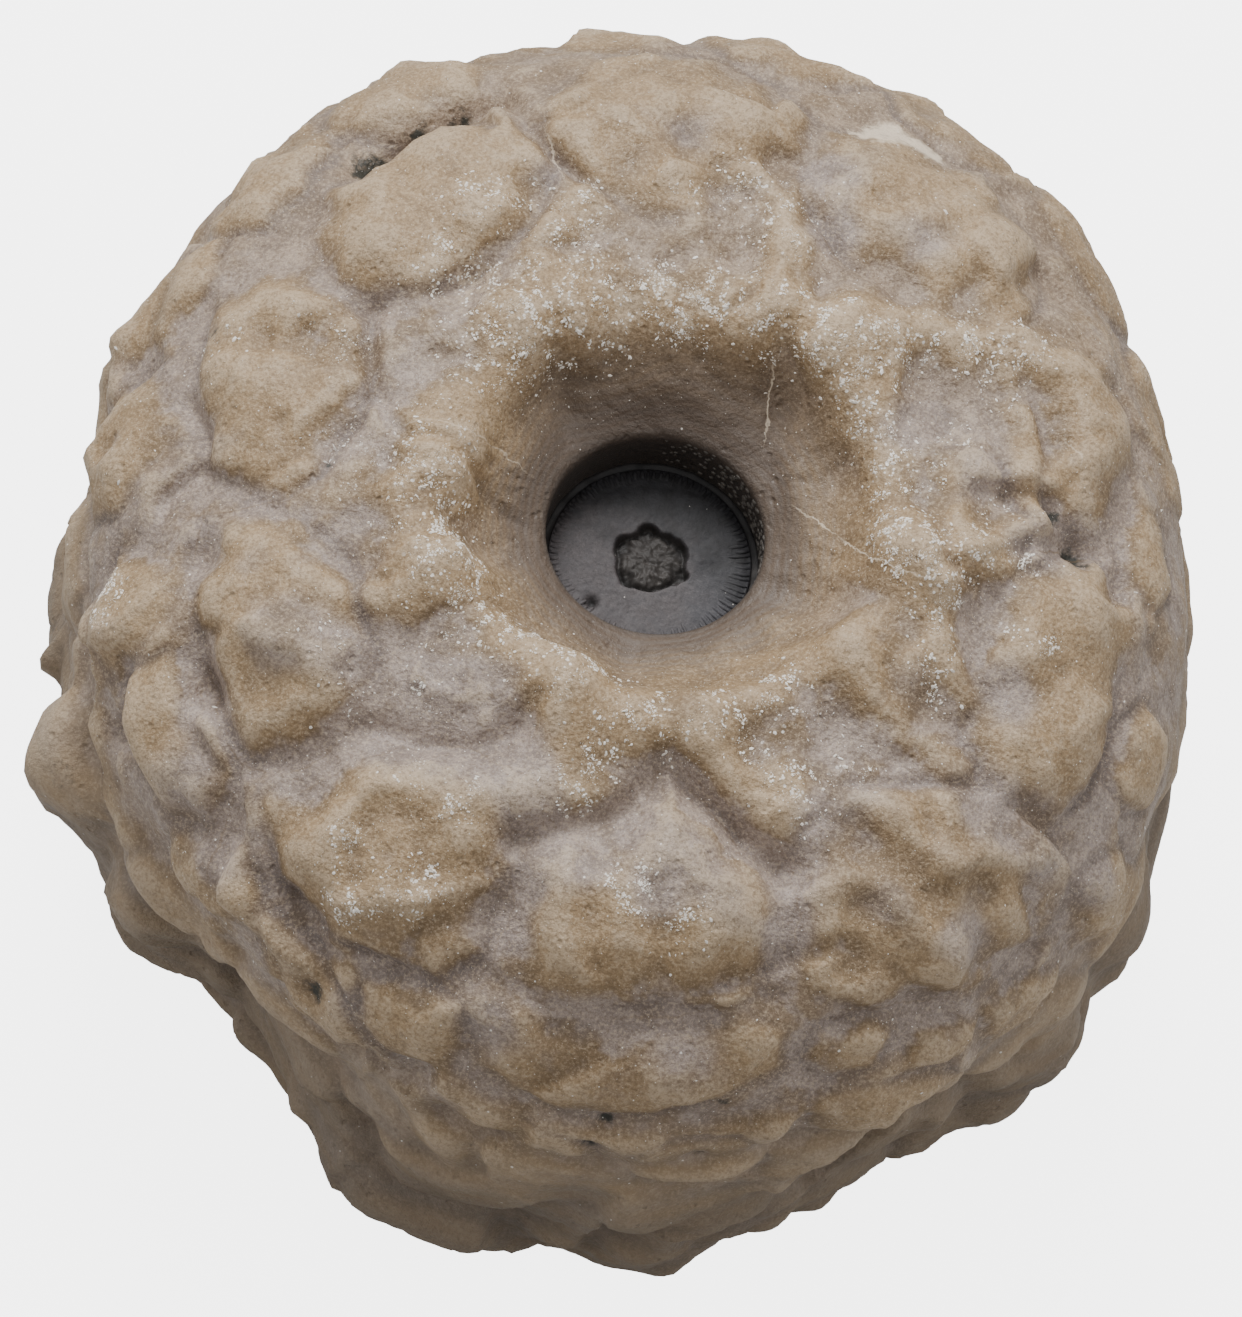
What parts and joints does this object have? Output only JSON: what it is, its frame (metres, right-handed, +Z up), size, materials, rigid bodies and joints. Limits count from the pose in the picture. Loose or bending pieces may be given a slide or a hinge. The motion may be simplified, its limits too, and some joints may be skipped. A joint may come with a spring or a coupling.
{
  "type": "fossil crinoid calyx",
  "caption": "Fossil crinoid cup, base up: a knobbly stone calyx of swollen plates round a funnel-shaped pit, with a round stem disc lodged at the bottom.",
  "frame": {"origin": "middle of the flat patch that the cup rests on, straight under the stem axis", "axes": "+Z up along the stem axis, out of the pit; +Y towards the wider side of the cup; +X to the right seen from -Y"},
  "size_m": [0.0464, 0.0502, 0.0291],
  "materials": {
    "calyx_stone": "weathered grey-brown limestone, dull with a faint waxy sheen",
    "disc_stone": "dull blue-grey fine-grained stone"
  },
  "bodies": {
    "root": {"calyx": "calyx_stone", "stem_columnal": "disc_stone"}
  },
  "joints": []
}
